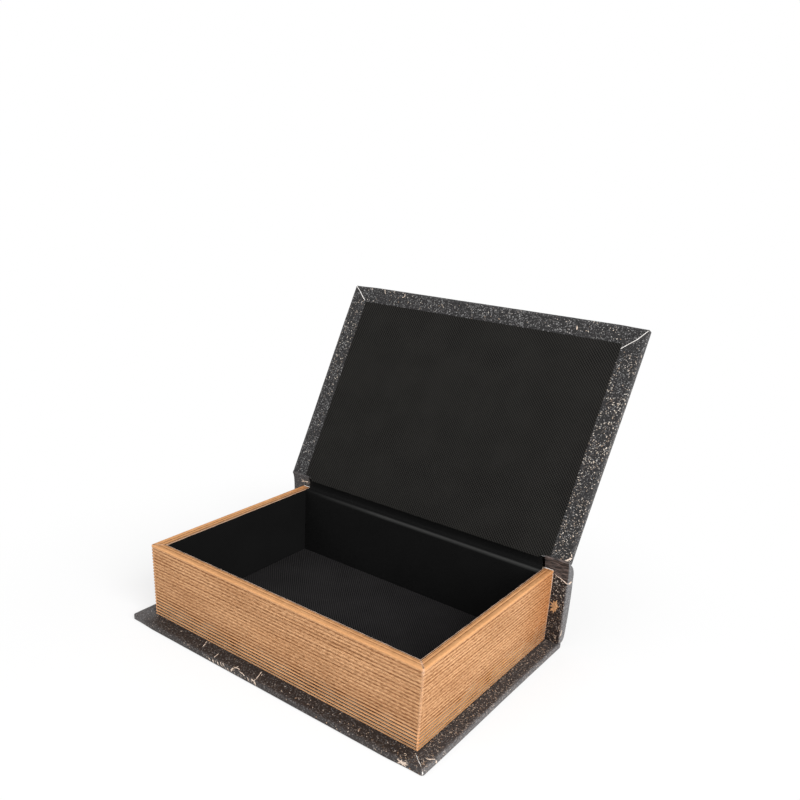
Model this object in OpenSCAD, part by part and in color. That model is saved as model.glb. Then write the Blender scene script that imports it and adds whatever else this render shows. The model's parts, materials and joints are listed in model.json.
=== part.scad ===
// Book box. A lined tray, faced to look like the page edges of an old book, sits
// in a hard cover: the back cover is its base, the spine closes its long rear
// side, and the front cover is the lid, shown standing open.
// X runs along the spine, Y from the fore edge to the spine, and Z is up. The
// origin is the middle of the base cover's underside. All sizes are in millimetres.

/* [Tray] */
// Length of the tray along the spine
tray_l = 200; // [150:1:260]
// Depth of the tray from its fore edge to its back
tray_w = 139; // [110:1:180]
// Height of the tray above the base cover
tray_h = 47.5; // [35:0.5:80]
// Thickness of the front and side walls with their facing and cloth
wall_t = 6.5; // [5:0.1:9]
// Thickness of the rear wall with its cloth
rear_wall_t = 5.5; // [4.5:0.1:9]
// Thickness of the black cloth that lines the tray
cloth_t = 0.4; // [0.3:0.05:0.6]
// Radius of the cloth over the rear wall's inner top edge
rear_edge_r = 1.2; // [0.8:0.1:2]

/* [Page edges] */
// Thickness of the printed facing
facing_t = 0.4; // [0.3:0.05:0.6]
// Distance from one groove to the next
groove_pitch = 2.1; // [1.8:0.1:3]
// Width of a groove at the surface
groove_w = 1; // [0.5:0.1:1.2]
// Depth of a groove
groove_d = 0.6; // [0.3:0.1:0.9]
// Height of the plain band above the top groove
plain_band = 2.4; // [1.5:0.1:5]

/* [Cover] */
// Thickness of the base and lid boards
board_t = 3; // [2:0.1:4]
// Thickness of the leatherette
leather_t = 0.4; // [0.3:0.05:0.6]
// How far the cover reaches past each end of the tray
overhang_end = 9.9; // [5:0.1:14]
// How far the cover reaches past the fore edge
overhang_front = 9.4; // [5:0.1:14]
// Radius of the cover's corners, seen from above
corner_r = 1.5; // [1:0.1:3]
// Radius of the leatherette where it folds over a board's edge
fold_r = 0.8; // [0.5:0.1:1]
// Width of the seam where two turned-in edges meet at a corner
seam_w = 0.3; // [0.2:0.05:0.5]
// Depth of that seam
seam_d = 0.2; // [0.1:0.05:0.25]
// Width of the lid's turned-in edge at the ends
lid_turn_end = 12.6; // [11:0.1:16]
// Width of the lid's turned-in edge at the fore edge
lid_turn_front = 11.1; // [10:0.1:16]
// Thickness of the cloth-covered panel inside the lid
panel_t = 0.8; // [0.6:0.1:1.2]
// How far that panel stops short of the lid's rear edge
panel_back = 0.8; // [0:0.1:3]

/* [Spine] */
// Thickness of the spine board at its crown
spine_t = 7.8; // [7:0.1:12]
// How much thinner the spine is at its foot than at its crown
spine_bulge = 1.9; // [0.6:0.1:2.2]
// How far the crown lies above the middle of the spine
crown_rise = 5.5; // [0:0.5:8]
// Radius of the spine board's lower outer edge
spine_foot_r = 4; // [1.5:0.1:4]
// How far the spine's top lies below the rim of the tray
spine_drop = 5; // [3:0.5:8]
// How far the base board reaches in behind the spine's foot
foot_lap = 0.6; // [0.3:0.1:1]
// Width of the spine's and the hinge's turned-in edge at each end
spine_turn = 14; // [11:0.5:18]

/* [Hinge] */
// How far the lid stands open at rest
open_angle = 118; // [95:1:130]
// Distance of the fold line behind the tray's back
hinge_back = 0.4; // [0:0.1:1]
// Distance from the tray's back to the closed lid's rear edge
lid_setback = 1.6; // [1:0.1:3]
// Gap between the rim and the closed lid's panel
close_gap = 0.3; // [0.2:0.1:0.6]
// Width of the cloth glued to the rear wall's top, in front of the hinge
hinge_land = 2.4; // [1.8:0.1:2.8]
// Clearance between the hinge strips and the lid
strip_gap = 0.15; // [0.1:0.05:0.3]

/* [Hidden] */

arc_steps = 6;
crown_steps = 20;
curve_steps = 14;
margin = 1;

leather_colour = [0.2, 0.19, 0.2];
page_colour = [0.78, 0.58, 0.39];
cloth_colour = [0.1, 0.1, 0.11];
board_colour = [0.72, 0.6, 0.46];

// Heights
board_z = leather_t;
board_top = board_z + board_t;
base_top = board_top + leather_t;
tray_top = base_top + tray_h;
spine_top = tray_top - spine_drop;

// Spine section, with Y counted from the tray's back
crown_z = (base_top + spine_top) / 2 + crown_rise;
crown_h = crown_z - base_top;
crown_r = (pow(crown_h, 2) + pow(spine_bulge, 2)) / (2 * spine_bulge);
crown_y = spine_t - crown_r;
foot_z = base_top + spine_foot_r;
foot_y = crown_y + sqrt(pow(crown_r - spine_foot_r, 2) - pow(crown_z - foot_z, 2));
foot_angle = -asin((crown_z - foot_z) / (crown_r - spine_foot_r));
base_reach = foot_y + foot_lap;

// Plan
cover_l = tray_l + 2 * overhang_end;
cover_w = overhang_front + tray_w + base_reach + leather_t;
cover_front = -cover_w / 2;
cover_rear = cover_w / 2;
tray_front = cover_front + overhang_front;
tray_rear = tray_front + tray_w;
board_l = cover_l - 2 * leather_t;
core_inner = tray_l / 2 - wall_t + cloth_t;
cloth_inner = tray_l / 2 - wall_t;
front_inner = tray_front + wall_t;
rear_inner = tray_rear - rear_wall_t;

// Lid, in its closed place
lid_face_z = tray_top + close_gap;
lid_board_z = lid_face_z + panel_t;
lid_inner_z = lid_board_z - leather_t;
lid_top = lid_board_z + board_t + leather_t;
lid_rear = tray_rear - lid_setback;

// Hinge line
hinge_y = tray_rear + hinge_back;
hinge_z = lid_top;

// Page grooves, counted down from the plain band
top_groove = tray_h - plain_band;
groove_count = floor((top_groove - groove_w) / groove_pitch) + 1;

// Points on an arc about c, from angle a0 to a1
function arc(c, r, a0, a1, n) =
    [for (i = [0:n]) c + r * [cos(a0 + (a1 - a0) * i / n), sin(a0 + (a1 - a0) * i / n)]];

// A point of the closed lid, [Y, Z], moved to the open lid
function opened_point(p) =
    [hinge_y + (p[0] - hinge_y) * cos(open_angle) + (p[1] - hinge_z) * sin(open_angle),
     hinge_z - (p[0] - hinge_y) * sin(open_angle) + (p[1] - hinge_z) * cos(open_angle)];

// Cubic curve through p[0] and p[3], with handles p[1] and p[2]
function curve_point(p, t) =
    pow(1 - t, 3) * p[0] + 3 * t * pow(1 - t, 2) * p[1]
    + 3 * t * t * (1 - t) * p[2] + pow(t, 3) * p[3];
function curve_slope(p, t) =
    pow(1 - t, 2) * (p[1] - p[0]) + 2 * t * (1 - t) * (p[2] - p[1]) + t * t * (p[3] - p[2]);
function left_normal(v) = [-v[1], v[0]] / norm(v);

// Outline of a strip that follows a curve, between two distances to its left
function strip(p, near, far) = concat(
    [for (i = [0:curve_steps]) let (t = i / curve_steps)
        curve_point(p, t) + near * left_normal(curve_slope(p, t))],
    [for (i = [curve_steps:-1:0]) let (t = i / curve_steps)
        curve_point(p, t) + far * left_normal(curve_slope(p, t))]);

// Spine outline from its foot to its top, grown outwards by t
function spine_outline(t) =
    let (top_angle = asin((spine_top - crown_z) / (crown_r + t)),
         foot_start = acos(spine_foot_r / (spine_foot_r + t)) - 90)
    concat(
        arc([foot_y, foot_z], spine_foot_r + t, foot_start, foot_angle, arc_steps),
        arc([crown_y, crown_z], crown_r + t, foot_angle, top_angle, crown_steps));

// Groove outline up a wall's face, at a given depth below it
function grooves(depth) =
    [for (i = [groove_count - 1:-1:0], s = [-1:1])
        [depth + (s == 0 ? groove_d : 0), top_groove - i * groove_pitch + s * groove_w / 2]];
function reversed(list) = [for (i = [len(list) - 1:-1:0]) list[i]];

// Sweeps a [Y, Z] outline along X
module along_x(length) {
    rotate([90, 0, 90]) linear_extrude(height = length, center = true) children();
}

// Sweeps an [X, Z] outline along Y, between two places
module along_y(from, to) {
    translate([0, (from + to) / 2, 0])
        rotate([90, 0, 0]) linear_extrude(height = to - from, center = true) children();
}

// A rectangle whose corners have radii r, listed from lower left and anticlockwise
module eased_rectangle(low, high, r) {
    polygon(concat(
        r[0] == 0 ? [low] : arc(low + [r[0], r[0]], r[0], 180, 270, arc_steps),
        r[1] == 0 ? [[high[0], low[1]]]
            : arc([high[0] - r[1], low[1] + r[1]], r[1], 270, 360, arc_steps),
        r[2] == 0 ? [high] : arc(high - [r[2], r[2]], r[2], 0, 90, arc_steps),
        r[3] == 0 ? [[low[0], high[1]]]
            : arc([low[0] + r[3], high[1] - r[3]], r[3], 90, 180, arc_steps)));
}

// A straight box between two corners
module block(low, high) {
    translate(low) cube(high - low);
}

// Board with rounded corners in plan
module board(front, rear, z, rear_r) {
    front_r = corner_r - leather_t;
    translate([0, 0, z]) linear_extrude(height = board_t)
        eased_rectangle([-board_l / 2, front + leather_t], [board_l / 2, rear],
            [front_r, front_r, rear_r, rear_r]);
}

// Outer form of a covered board: rounded corners, and edges eased where it folds
module covered_form(front, rear, low, high, rear_r, rear_low_r) {
    intersection() {
        translate([0, 0, low]) linear_extrude(height = high - low)
            eased_rectangle([-cover_l / 2, front], [cover_l / 2, rear],
                [corner_r, corner_r, rear_r, rear_r]);
        along_x(cover_l + margin)
            eased_rectangle([front, low], [rear, high], [fold_r, rear_low_r, 0, fold_r]);
        along_y(front - margin, rear + margin)
            eased_rectangle([-cover_l / 2, low], [cover_l / 2, high],
                [fold_r, fold_r, fold_r, fold_r]);
    }
}

// Seams of the turned-in corners, from the cover's corner towards the tray
module corner_seams(front, turn_end, turn_front, z) {
    reach = norm([turn_end, turn_front]);
    for (side = [0, 1])
        mirror([side, 0, 0])
            translate([cover_l / 2, front, z])
                rotate([0, 0, 180 - atan2(turn_front, turn_end)])
                    translate([reach / 2, 0, 0])
                        cube([reach, seam_w, 2 * seam_d], center = true);
}

// Moves a closed lid piece to the open lid
module opened() {
    translate([0, hinge_y, hinge_z])
        rotate([-open_angle, 0, 0])
            translate([0, -hinge_y, -hinge_z]) children();
}

// Wall section, [depth, Z]: the board behind the facing, grooved like the facing
module wall_section() {
    polygon(concat(
        [[facing_t, 0]], grooves(facing_t), [[facing_t, tray_h - facing_t],
         [wall_t - cloth_t, tray_h - facing_t], [wall_t - cloth_t, 0]]));
}

// Facing section, [depth, Z]: down the outer face and over the rim
module pages_section() {
    polygon(concat(
        [[0, 0]], grooves(0), [[0, tray_h], [wall_t - cloth_t, tray_h],
         [wall_t - cloth_t, tray_h - facing_t], [facing_t, tray_h - facing_t]],
        reversed(grooves(facing_t)), [[facing_t, 0]]));
}

// Plan of the front wall, mitred at both ends
module front_plan() {
    polygon([[-tray_l / 2, tray_front], [tray_l / 2, tray_front],
        [tray_l / 2 - wall_t, front_inner], [-tray_l / 2 + wall_t, front_inner]]);
}

// Plan of the right wall, mitred at the front and square at the spine
module side_plan() {
    polygon([[tray_l / 2, tray_front], [tray_l / 2, tray_rear],
        [tray_l / 2 - wall_t, tray_rear], [tray_l / 2 - wall_t, front_inner]]);
}

// Puts a wall section along the front
module front_run() {
    intersection() {
        translate([0, tray_front, base_top]) along_x(tray_l) children();
        linear_extrude(height = tray_top + margin) front_plan();
    }
}

// Puts a wall section along the right end
module side_run() {
    intersection() {
        translate([tray_l / 2, 0, base_top])
            mirror([1, 0, 0]) along_y(tray_front, tray_rear) children();
        linear_extrude(height = tray_top + margin) side_plan();
    }
}

module base_board() {
    color(board_colour) board(cover_front, cover_rear - leather_t, board_z, 0);
}

module base_leather() {
    color(leather_colour) difference() {
        covered_form(cover_front, cover_rear, 0, base_top, 0, fold_r);
        board(cover_front, cover_rear - leather_t, board_z, 0);
        block([-core_inner, front_inner - cloth_t, board_top - margin],
            [core_inner, cover_rear - leather_t, base_top + margin]);
        corner_seams(cover_front, overhang_end, overhang_front, base_top);
    }
}

module spine_board() {
    color(board_colour) translate([0, tray_rear, 0]) along_x(board_l)
        polygon(concat([[leather_t, spine_top], [leather_t, base_top]], spine_outline(0)));
}

module spine_leather() {
    color(leather_colour) translate([0, tray_rear, 0]) {
        along_x(board_l)
            polygon(concat(spine_outline(leather_t), reversed(spine_outline(0))));
        for (side = [0, 1])
            mirror([side, 0, 0]) {
                translate([(board_l + leather_t) / 2, 0, 0]) along_x(leather_t)
                    polygon(concat([[0, spine_top], [0, base_top]], spine_outline(leather_t)));
                block([cover_l / 2 - spine_turn, 0, base_top],
                    [board_l / 2, leather_t, spine_top]);
            }
    }
}

module front_wall() {
    color(board_colour) front_run() wall_section();
}

module right_wall() {
    color(board_colour) side_run() wall_section();
}

module left_wall() {
    mirror([1, 0, 0]) right_wall();
}

module rear_wall() {
    low = rear_inner + cloth_t;
    high = tray_top - cloth_t;
    color(board_colour) along_x(2 * core_inner)
        eased_rectangle([low, board_top], [tray_rear + leather_t, high],
            [0, 0, 0, rear_edge_r - cloth_t]);
}

module front_pages() {
    color(page_colour) front_run() pages_section();
}

module right_pages() {
    color(page_colour) side_run() pages_section();
}

module left_pages() {
    mirror([1, 0, 0]) right_pages();
}

module floor_lining() {
    color(cloth_colour)
        block([-core_inner, front_inner - cloth_t, board_top],
            [core_inner, rear_inner + cloth_t, base_top]);
}

module front_lining() {
    color(cloth_colour)
        block([-core_inner, front_inner - cloth_t, base_top],
            [core_inner, front_inner, tray_top - facing_t]);
}

module right_lining() {
    color(cloth_colour)
        block([cloth_inner, front_inner, base_top],
            [core_inner, rear_inner, tray_top - facing_t]);
}

module left_lining() {
    mirror([1, 0, 0]) right_lining();
}

// Cloth up the rear wall, round its inner top edge and onto its top
module rear_lining() {
    round_c = [rear_inner + rear_edge_r, tray_top - rear_edge_r];
    color(cloth_colour) along_x(2 * core_inner) polygon(concat(
        [[rear_inner, base_top]],
        arc(round_c, rear_edge_r, 180, 90, arc_steps),
        [[rear_inner + hinge_land, tray_top], [rear_inner + hinge_land, tray_top - cloth_t]],
        arc(round_c, rear_edge_r - cloth_t, 90, 180, arc_steps),
        [[rear_inner + cloth_t, base_top]]));
}

// Leatherette from the spine's top to the open lid, doubled at both ends
module hinge_leather() {
    spine_y = crown_y + sqrt(pow(crown_r + leather_t, 2) - pow(spine_top - crown_z, 2));
    start = [tray_rear + spine_y, spine_top];
    lid_edge = opened_point([lid_rear + strip_gap, lid_top]);
    across = [sin(180 - open_angle), -cos(180 - open_angle)];
    reach = norm(lid_edge - start);
    path = [start, start + [0, 0.35 * reach], lid_edge + 0.4 * reach * across, lid_edge];
    color(leather_colour) {
        along_x(cover_l) polygon(strip(path, 0, leather_t));
        for (side = [0, 1])
            mirror([side, 0, 0])
                translate([(cover_l - spine_turn) / 2, 0, 0])
                    along_x(spine_turn) polygon(strip(path, leather_t, 2 * leather_t));
    }
}

// Cloth from the rear wall's top to the open lid's inner edge
module hinge_lining() {
    start = [rear_inner + hinge_land, tray_top];
    lid_edge = opened_point([lid_rear + cloth_t + strip_gap, lid_board_z]);
    reach = norm(lid_edge - start);
    path = [start, start + [0.45 * reach, 0], lid_edge - [0, 0.5 * reach], lid_edge];
    color(cloth_colour) along_x(2 * cloth_inner) polygon(strip(path, 0, -cloth_t));
}

module lid_board() {
    color(board_colour) opened() board(cover_front, lid_rear, lid_board_z, 0);
}

module lid_leather() {
    color(leather_colour) opened() difference() {
        covered_form(cover_front, lid_rear, lid_inner_z, lid_top, 0, 0);
        board(cover_front, lid_rear + margin, lid_board_z, 0);
        block([-cover_l / 2 + lid_turn_end, cover_front + lid_turn_front, lid_face_z],
            [cover_l / 2 - lid_turn_end, lid_rear + margin, lid_board_z + leather_t]);
        corner_seams(cover_front, lid_turn_end, lid_turn_front, lid_inner_z);
    }
}

module lid_lining() {
    color(cloth_colour) opened()
        block([-cover_l / 2 + lid_turn_end, cover_front + lid_turn_front, lid_face_z],
            [cover_l / 2 - lid_turn_end, lid_rear - panel_back, lid_board_z]);
}

base_board();
spine_board();
base_leather();
spine_leather();
front_wall();
left_wall();
right_wall();
rear_wall();
front_pages();
left_pages();
right_pages();
floor_lining();
front_lining();
left_lining();
right_lining();
rear_lining();
hinge_leather();
hinge_lining();
lid_board();
lid_leather();
lid_lining();
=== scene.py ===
import json
import math
from collections import defaultdict

import bpy
from mathutils import Matrix, Vector, noise


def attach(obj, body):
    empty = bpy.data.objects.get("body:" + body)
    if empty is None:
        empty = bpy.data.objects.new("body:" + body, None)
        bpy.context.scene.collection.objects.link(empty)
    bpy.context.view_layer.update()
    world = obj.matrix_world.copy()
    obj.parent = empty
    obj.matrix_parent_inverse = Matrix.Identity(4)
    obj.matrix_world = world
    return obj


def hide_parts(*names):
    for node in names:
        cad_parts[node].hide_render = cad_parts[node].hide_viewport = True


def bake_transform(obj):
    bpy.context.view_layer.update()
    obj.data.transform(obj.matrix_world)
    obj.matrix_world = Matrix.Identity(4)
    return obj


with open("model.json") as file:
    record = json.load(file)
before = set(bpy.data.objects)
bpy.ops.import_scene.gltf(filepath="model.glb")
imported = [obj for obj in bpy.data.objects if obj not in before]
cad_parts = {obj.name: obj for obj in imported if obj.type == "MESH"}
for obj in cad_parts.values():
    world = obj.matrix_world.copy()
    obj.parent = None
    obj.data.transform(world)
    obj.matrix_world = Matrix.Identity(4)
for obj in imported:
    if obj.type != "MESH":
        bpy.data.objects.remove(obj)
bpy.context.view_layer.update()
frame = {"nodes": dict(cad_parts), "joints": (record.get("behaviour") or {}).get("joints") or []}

# Book box, standing open. Lengths are in millimetres, apart from those of the stage.
# X runs along the spine, Y from the fore edge to the spine, and Z is up. Lid pieces are
# laid out shut, and turned open as they are made.
MM = 0.001


# Sizes taken from the frame

def corners_mm(node, turn=None):
    """The lowest and highest corner of a CAD node, after a turn if one is given."""
    points = [v.co / MM for v in frame["nodes"][node].data.vertices]
    if turn:
        points = [turn @ p for p in points]
    low = Vector([min(p[k] for p in points) for k in range(3)])
    high = Vector([max(p[k] for p in points) for k in range(3)])
    return low, high


joint = frame["joints"][0]
HINGE = Vector(joint["pos_m"]) / MM
OPEN_ANGLE = math.radians(joint["range_deg"][1])
OPEN = (Matrix.Translation(HINGE) @ Matrix.Rotation(-OPEN_ANGLE, 4, "X")
        @ Matrix.Translation(-HINGE))
SHUT = OPEN.inverted()

BASE_LOW, BASE_HIGH = corners_mm("base_leather")
FRONT_LOW, FRONT_HIGH = corners_mm("front_pages")
FLOOR_LOW, FLOOR_HIGH = corners_mm("floor_lining")
REAR_LOW, REAR_HIGH = corners_mm("rear_lining")
LID_LOW, LID_HIGH = corners_mm("lid_leather", SHUT)
PANEL_LOW, PANEL_HIGH = corners_mm("lid_lining", SHUT)

HALF = BASE_HIGH.x
COVER_FRONT = BASE_LOW.y
TRAY_HALF = FRONT_HIGH.x
TRAY_FRONT = FRONT_LOW.y
TRAY_REAR = corners_mm("right_pages")[1].y
BASE_TOP = BASE_HIGH.z
TRAY_TOP = FRONT_HIGH.z
TRAY_H = TRAY_TOP - BASE_TOP
SPINE_TOP = corners_mm("spine_leather")[1].z
FACING_DEPTH = FRONT_HIGH.y - FRONT_LOW.y
CLOTH = FLOOR_HIGH.z - FLOOR_LOW.z
INNER = TRAY_HALF - FACING_DEPTH - CLOTH
INNER_FRONT = FRONT_HIGH.y + CLOTH
INNER_REAR = REAR_LOW.y
LAND_END = REAR_HIGH.y

# Sizes that the frame doesn't give, as in the CAD source
LEATHER = 0.4
FACING = 0.4
FOLD_R = 0.8
CORNER_R = 1.5
LID_CORNER_R = 0.9
SEAM_D = 0.2
SPINE_TURN = 14.0
SPINE_T = 7.8
SPINE_BULGE = 1.9
CROWN_RISE = 5.5
FOOT_R = 4.0
STRIP_GAP = 0.15
REAR_EDGE_R = 1.2
GROOVE_PITCH = 2.1
GROOVE_W = 1.0
GROOVE_D = 0.6
PLAIN_BAND = 2.4
# The shut lid's inner face
LID_FACE = PANEL_HIGH.z - LEATHER


# Curves

def ease(low, high, x):
    """From 0 at low to 1 at high, smoothly."""
    t = min(max((x - low) / (high - low), 0.0), 1.0)
    return t * t * (3 - 2 * t)


def ripple(p, size, seed=0.0):
    """Smooth noise from about -1 to 1, which changes over a length of about size."""
    return noise.noise(Vector((p[0] / size + seed, p[1] / size - seed, p[2] / size)))


def cover_lift(p):
    """How far the leatherette stands out of true."""
    return 0.05 * ripple(p, 14) + 0.03 * ripple(p, 4, 7.0)


def arc(centre, radius, start, end, steps):
    """Points on an arc, with its angles in degrees."""
    turns = [math.radians(start + (end - start) * i / steps) for i in range(steps + 1)]
    return [(centre[0] + radius * math.cos(a), centre[1] + radius * math.sin(a))
            for a in turns]


def curve(p, steps):
    """Points and left normals on a cubic curve in the plane."""
    found = []
    for i in range(steps + 1):
        t = i / steps
        s = 1 - t
        point = p[0] * s ** 3 + p[1] * 3 * t * s * s + p[2] * 3 * t * t * s + p[3] * t ** 3
        slope = (p[1] - p[0]) * s * s + (p[2] - p[1]) * 2 * t * s + (p[3] - p[2]) * t * t
        slope.normalize()
        found.append((point, Vector((-slope.y, slope.x))))
    return found


def opened(y, z):
    """A point of the shut lid, as Y and Z, where it lies with the lid open."""
    p = OPEN @ Vector((0, y, z))
    return Vector((p.y, p.z))


def spread(start, end, step):
    """Even places from start to end, about a step apart."""
    count = max(1, round(abs(end - start) / step))
    return [start + (end - start) * i / count for i in range(count + 1)]


# Meshes

SHARP_ANGLE = math.radians(40)


def loft(rings, keep=None):
    """Faces between rings of points that all have the same count, and over the two end
    rings. keep says which of the faces between rings are made."""
    count = len(rings[0])
    faces = [(r * count + i, r * count + (i + 1) % count,
              (r + 1) * count + (i + 1) % count, (r + 1) * count + i)
             for r in range(len(rings) - 1) for i in range(count)
             if keep is None or keep(r, i)]
    faces.append(tuple(range(count))[::-1])
    faces.append(tuple((len(rings) - 1) * count + i for i in range(count)))
    return [p for ring in rings for p in ring], faces


def joined(parts):
    """One list of points and faces from several."""
    points, faces = [], []
    for more, polygons in parts:
        faces += [tuple(i + len(points) for i in f) for f in polygons]
        points += more
    return points, faces


def note(marks, **values):
    """Adds one point's values to the marks."""
    for key, value in values.items():
        marks[key].append(value)


def make_piece(name, solid, material, node=None, body="root", marks=None, at=None):
    """A piece from points in millimetres and faces, opened if it rides on the lid. node is
    the CAD node that it stands for. Its material reads "at", where each point lies with the
    lid shut, and the marks."""
    points, faces = solid
    mesh = bpy.data.meshes.new(name)
    placed = [OPEN @ Vector(p) if body == "lid" else Vector(p) for p in points]
    mesh.from_pydata([p * MM for p in placed], [], faces)
    mesh.attributes.new("at", "FLOAT_VECTOR", "POINT").data.foreach_set(
        "vector", [c for p in (at or points) for c in p])
    for mark, values in (marks or {}).items():
        mesh.attributes.new(mark, "FLOAT", "POINT").data.foreach_set("value", values)
    mesh.shade_smooth()
    mesh.set_sharp_from_angle(angle=SHARP_ANGLE)
    mesh.materials.append(material)
    piece = bpy.data.objects.new(name, mesh)
    bpy.context.scene.collection.objects.link(piece)
    if node:
        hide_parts(node)
    if body:
        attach(piece, body)
    return piece


def plan_ring(low, high, radius, z, counts, corner_steps=6):
    """Points round a rectangle with round corners, anticlockwise from the front left, and
    how near each is to the middle of a corner. counts are the points along X and Y."""
    left, near = (v + radius for v in low)
    right, far = (v - radius for v in high)
    corners = (((left, near), 180), ((right, near), 270), ((right, far), 0), ((left, far), 90))
    arcs = [arc(c, radius, a, a + 90, corner_steps) for c, a in corners]
    points, nearness = [], []
    for k, turn in enumerate(arcs):
        points += turn
        nearness += [1 - abs(2 * i / corner_steps - 1) for i in range(corner_steps + 1)]
        here, there = Vector(turn[-1]), Vector(arcs[(k + 1) % 4][0])
        count = counts[k % 2]
        points += [tuple(here.lerp(there, i / count)) for i in range(1, count)]
        nearness += [0.0] * (count - 1)
    return [(x, y, z) for x, y in points], nearness


# Materials

def is_socket(value):
    return isinstance(value, bpy.types.NodeSocket)


def add(kind, inputs=None, tree=None, **settings):
    """Adds a shader node to a tree, or else to the tree of its inputs. An input given as a
    socket is linked, and any other is set."""
    inputs = inputs or {}
    tree = tree or next(value.id_data for value in inputs.values() if is_socket(value))
    made = tree.nodes.new("ShaderNode" + kind)
    for key, value in settings.items():
        setattr(made, key, value)
    for key, value in inputs.items():
        if is_socket(value):
            tree.links.new(value, made.inputs[key])
        else:
            made.inputs[key].default_value = value
    return made


def calc(operation, a, b=0.0, c=0.0):
    return add("Math", {0: a, 1: b, 2: c}, operation=operation).outputs[0]


def times(first, *others):
    for other in others:
        first = calc("MULTIPLY", first, other)
    return first


def mix(share, a, b):
    """Mixes two colours by a share."""
    a, b = ((*c, 1.0) if isinstance(c, tuple) else c for c in (a, b))
    return add("Mix", {0: share, 6: a, 7: b}, data_type="RGBA").outputs[2]


def span(value, low, high, to_low=0.0, to_high=1.0):
    """Maps low..high smoothly to to_low..to_high, and holds the ends."""
    inputs = {"Value": value, "From Min": low, "From Max": high,
              "To Min": to_low, "To Max": to_high}
    return add("MapRange", inputs, interpolation_type="SMOOTHSTEP").outputs[0]


def mark(tree, name):
    return add("Attribute", tree=tree, attribute_name=name).outputs["Fac"]


def place(tree, stretch=(1.0, 1.0, 1.0)):
    """Where a point lies with the lid shut, in millimetres, divided by stretch."""
    kept = add("Attribute", tree=tree, attribute_name="at").outputs["Vector"]
    return add("VectorMath", {0: kept, 1: stretch}, operation="DIVIDE").outputs[0]


def grain(vector, scale=1.0, detail=2.0, roughness=0.5):
    inputs = {"Vector": vector, "Scale": scale, "Detail": detail, "Roughness": roughness}
    return add("TexNoise", inputs).outputs[0]


def bump(height, distance, strength):
    inputs = {"Height": height, "Distance": distance * MM, "Strength": strength}
    return add("Bump", inputs).outputs[0]


def new_material(name):
    material = bpy.data.materials.new(name)
    material.use_nodes = True
    material.node_tree.nodes.clear()
    return material, material.node_tree


def finish_material(colour, roughness, shine, normal):
    inputs = {"Base Color": colour, "Roughness": roughness, "Specular IOR Level": shine,
              "Normal": normal}
    add("OutputMaterial", {"Surface": add("BsdfPrincipled", inputs).outputs[0]})


def leatherette_material():
    """Pebbled dark leatherette with gilt specks, greyer and smoother where it is worn. Its
    pebbles' tops are painted lighter than their valleys, a painted highlight for their shine.
    """
    material, tree = new_material("leatherette")
    at = place(tree)
    bent = at
    for scale, reach in ((0.3, 3.0), (1.0, 1.1)):
        warp = add("TexNoise", {"Vector": at, "Scale": scale}).outputs["Color"]
        bent = add("VectorMath", {0: warp, 1: (reach, reach, reach), 2: bent},
                   operation="MULTIPLY_ADD").outputs[0]
    pebble = add("TexVoronoi", {"Vector": bent, "Scale": 0.92}).outputs
    chance = add("SeparateColor", {0: pebble["Color"]}).outputs
    dome = span(pebble["Distance"], 0.12, 0.52, 1.0, 0.0)
    mottle = grain(at, 0.09, 3.0)
    fine = grain(at, 1.8, 3.0, 0.65)
    height_up = add("SeparateXYZ", {0: at}).outputs[2]
    brown = span(height_up, 4.0, 44.0, 1.0, 0.0)
    valley = mix(brown, (0.008, 0.008, 0.0085), (0.016, 0.0105, 0.008))
    dark = mix(span(fine, 0.4, 0.75, 0.0, 0.6), valley, (0.04, 0.035, 0.034))
    # Pebble tops: a lighter grey that is painted highlight, standing in for the shine on each
    # pebble
    grey = mix(brown, (0.46, 0.455, 0.45), (0.24, 0.205, 0.185))
    top = mix(span(mottle, 0.3, 0.66), (0.18, 0.175, 0.175), grey)
    uneven = span(chance[1], 0.0, 1.0, 0.25, 1.0)
    # Dark valleys, with the painted-highlight colour on the pebbles' domes
    skin = mix(times(dome, span(fine, 0.3, 0.6), uneven), dark, top)
    patch = times(span(grain(at, 0.11), 0.27, 0.5), mark(tree, "gilt"))
    picked = calc("GREATER_THAN", chance[0], span(patch, 0.0, 1.0, 0.97, 0.1))
    dot = span(pebble["Distance"], 0.12, 0.4, 1.0, 0.0)
    orange = mix(brown, (0.45, 0.31, 0.2), (0.52, 0.28, 0.13))
    cream = mix(brown, (0.88, 0.79, 0.68), (0.86, 0.68, 0.52))
    gold = mix(chance[1], orange, cream)
    speck = mix(times(picked, dot, span(chance[2], 0.0, 1.0, 0.3, 1.0)), skin, gold)
    rubs = calc("MULTIPLY_ADD", dome, 0.45, span(fine, 0.36, 0.64, 0.2, 0.8))
    worn = calc("MINIMUM", times(mark(tree, "wear"), rubs), 1.0)
    rubbed = mix(worn, speck, (0.25, 0.245, 0.25))
    streaks = grain(place(tree, (5.0, 3.0, 0.7)), 1.0, 2.0)
    plain = mix(span(streaks, 0.4, 0.68), (0.026, 0.023, 0.022), (0.13, 0.1, 0.092))
    colour = mix(times(mark(tree, "smooth"), 0.92), rubbed, plain)
    flat = calc("SUBTRACT", 1.0, times(mark(tree, "smooth"), 0.8))
    height = times(calc("MULTIPLY_ADD", fine, 0.35, dome), flat)
    finish_material(colour, 0.5, 0.15, bump(height, 0.22, 0.8))
    return material


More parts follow.
